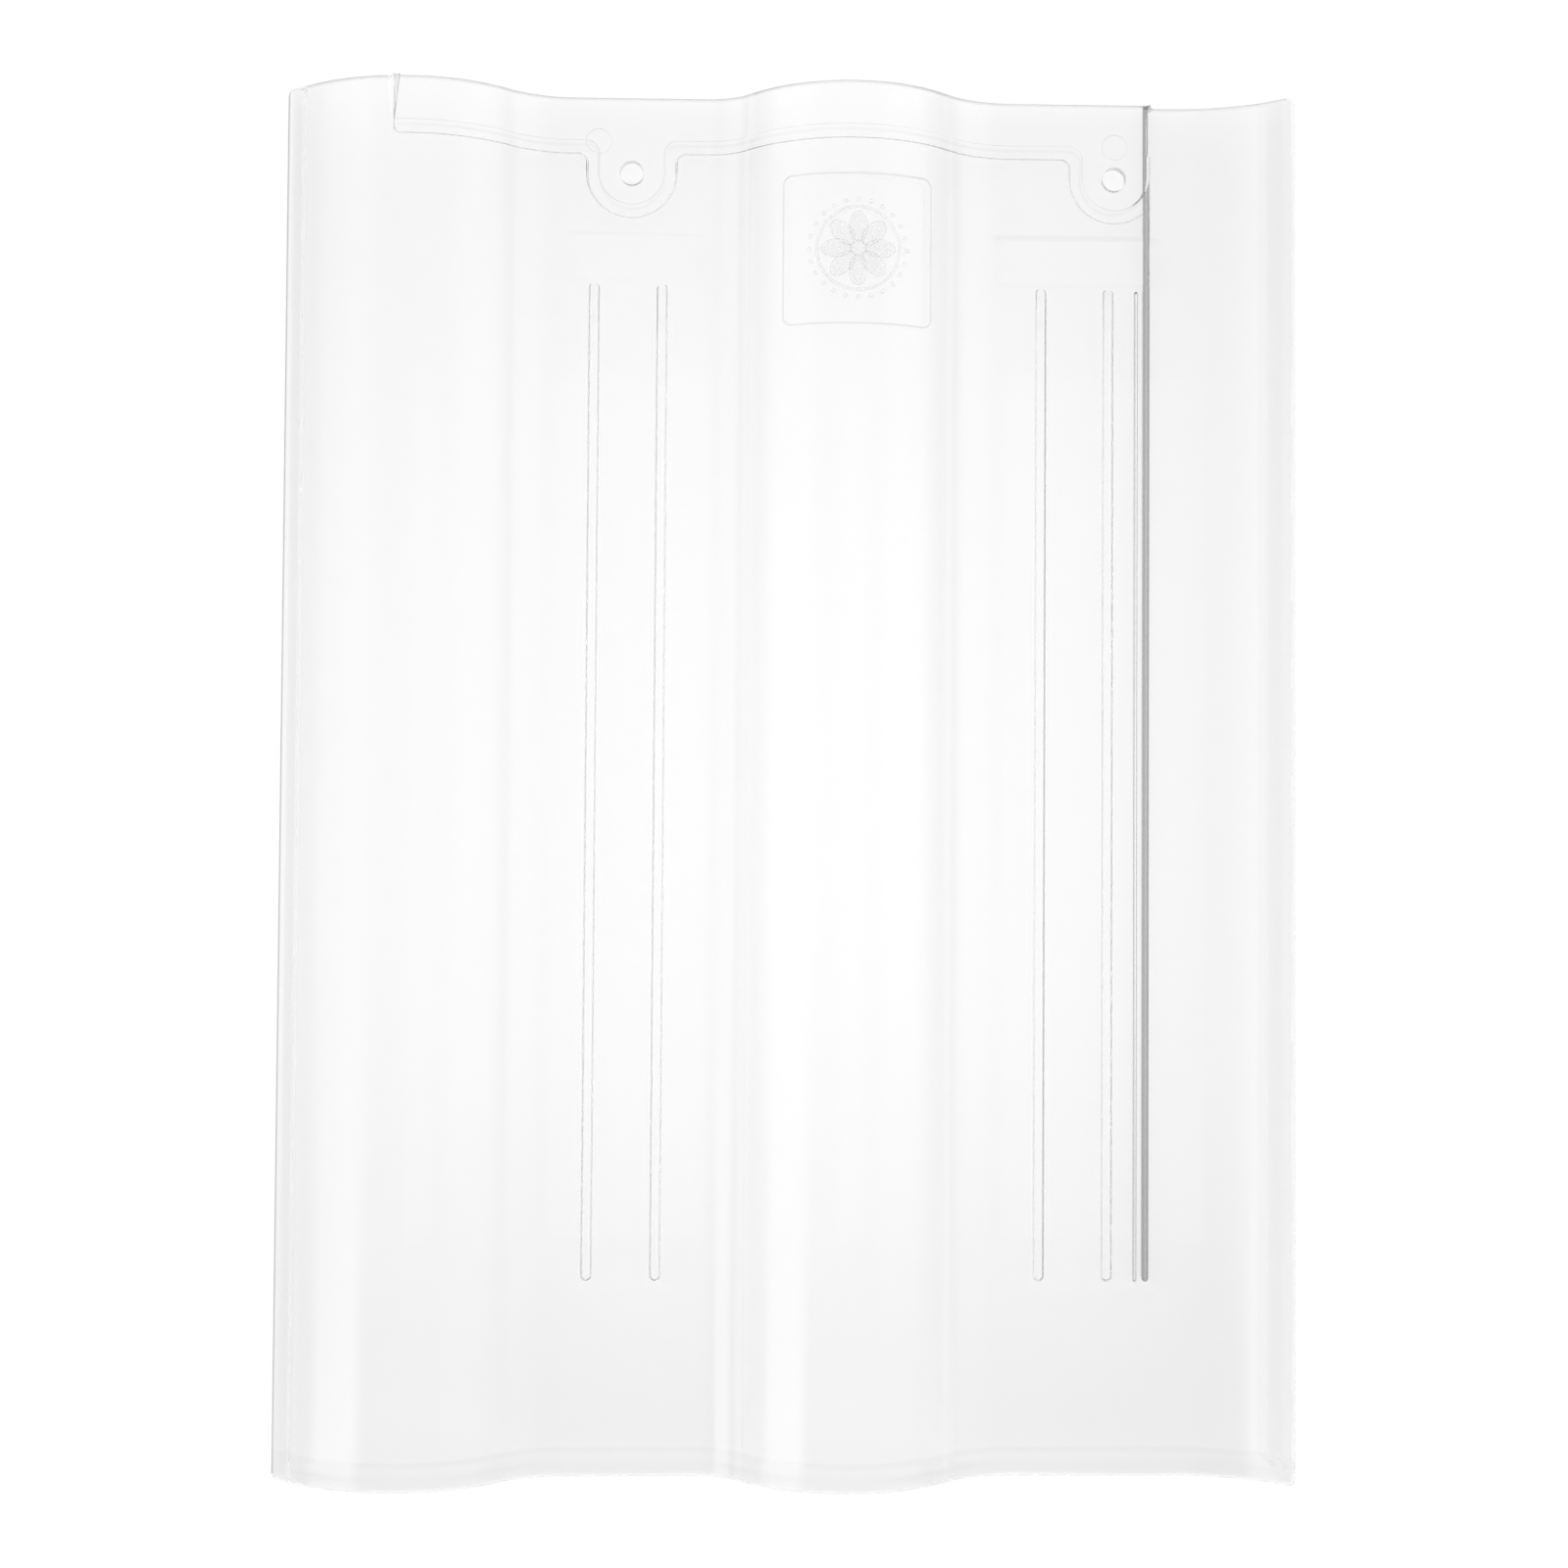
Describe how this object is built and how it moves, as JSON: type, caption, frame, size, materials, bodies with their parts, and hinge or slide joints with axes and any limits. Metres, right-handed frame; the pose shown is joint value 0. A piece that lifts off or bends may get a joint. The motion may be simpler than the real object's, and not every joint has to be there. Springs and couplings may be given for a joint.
{
  "type": "clear plastic interlocking roof tile",
  "caption": "Clear moulded skylight tile with two rolls, flat pans, a side strip and foot that interlock, a sunk nail band, and ribs and batten pads beneath.",
  "frame": {"origin": "centre of the tile's outline at the level of the fin's lower edge, on which it stands", "axes": "+X across the tile from the side roll to the side strip, +Y up the slope to the head, +Z out of the weather side"},
  "size_m": [0.3, 0.412, 0.026],
  "materials": {
    "clear_plastic": "clear and glossy on both sides, with a frosted raised ornament on the panel"
  },
  "bodies": {
    "root": {"roof_tile": "clear_plastic"}
  },
  "joints": []
}
